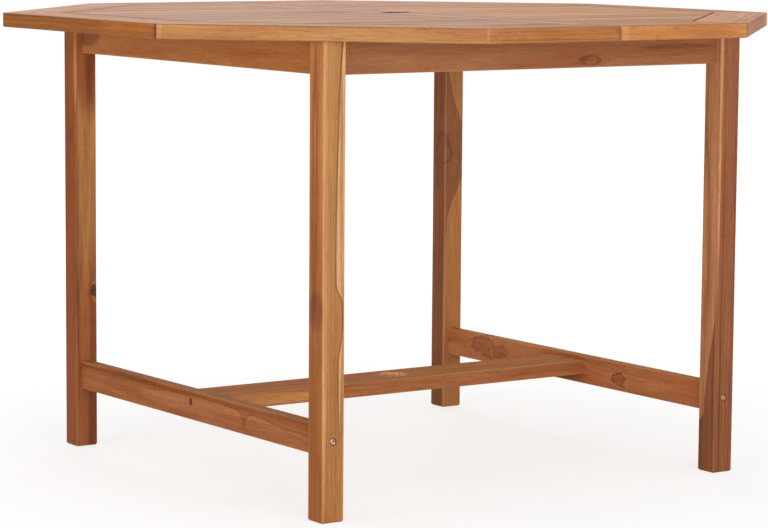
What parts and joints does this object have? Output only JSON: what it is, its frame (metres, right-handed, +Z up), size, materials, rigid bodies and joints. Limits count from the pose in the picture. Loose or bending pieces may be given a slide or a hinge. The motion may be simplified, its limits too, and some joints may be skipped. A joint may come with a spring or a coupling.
{
  "type": "outdoor dining table",
  "caption": "Octagonal oiled-teak outdoor dining table: framed slatted top in two halves with a parasol hole, square legs, aprons and a low stretcher frame.",
  "frame": {"origin": "on the floor, under the middle of the top", "axes": "+Z up; the seam between the two halves of the top runs along Y; -Y is the front and -X the left"},
  "size_m": [1.2, 1.2, 0.75],
  "materials": {
    "teak_top": "oiled teak, sanded, boards of the top",
    "teak_frame": "oiled teak, planed, legs and rails",
    "hidden_hardwood": "unfinished hardwood, inner pieces",
    "zinc_steel": "yellow zinc plated steel fasteners"
  },
  "bodies": {
    "root": {"apron_front": "teak_frame", "apron_left": "teak_frame", "apron_rear": "teak_frame", "apron_right": "teak_frame", "apron_screws": "zinc_steel", "barrel_nuts": "zinc_steel", "batten_screws": "zinc_steel", "board_bolts": "zinc_steel", "corner_block_front_left": "hidden_hardwood", "corner_block_front_right": "hidden_hardwood", "corner_block_rear_left": "hidden_hardwood", "corner_block_rear_right": "hidden_hardwood", "hanger_bolts": "zinc_steel", "hanger_nuts": "zinc_steel", "hanger_washers": "zinc_steel", "left_batten": "hidden_hardwood", "left_border_front": "teak_top", "left_border_front_diagonal": "teak_top", "left_border_rear": "teak_top", "left_border_rear_diagonal": "teak_top", "left_border_side": "teak_top", "left_slat_01": "teak_top", "left_slat_02": "teak_top", "left_slat_03": "teak_top", "left_slat_04": "teak_top", "left_slat_05": "teak_top", "left_slat_06": "teak_top", "left_slat_07": "teak_top", "left_slat_08": "teak_top", "left_slat_09": "teak_top", "left_slat_10": "teak_top", "left_slat_11": "teak_top", "left_stile": "teak_top", "leg_bolts": "zinc_steel", "leg_front_left": "teak_frame", "leg_front_right": "teak_frame", "leg_rear_left": "teak_frame", "leg_rear_right": "teak_frame", "parasol_board": "teak_frame", "right_batten": "hidden_hardwood", "right_border_front": "teak_top", "right_border_front_diagonal": "teak_top", "right_border_rear": "teak_top", "right_border_rear_diagonal": "teak_top", "right_border_side": "teak_top", "right_slat_01": "teak_top", "right_slat_02": "teak_top", "right_slat_03": "teak_top", "right_slat_04": "teak_top", "right_slat_05": "teak_top", "right_slat_06": "teak_top", "right_slat_07": "teak_top", "right_slat_08": "teak_top", "right_slat_09": "teak_top", "right_slat_10": "teak_top", "right_slat_11": "teak_top", "right_stile": "teak_top", "stretcher_left": "teak_frame", "stretcher_right": "teak_frame", "top_dowels": "hidden_hardwood"}
  },
  "joints": []
}
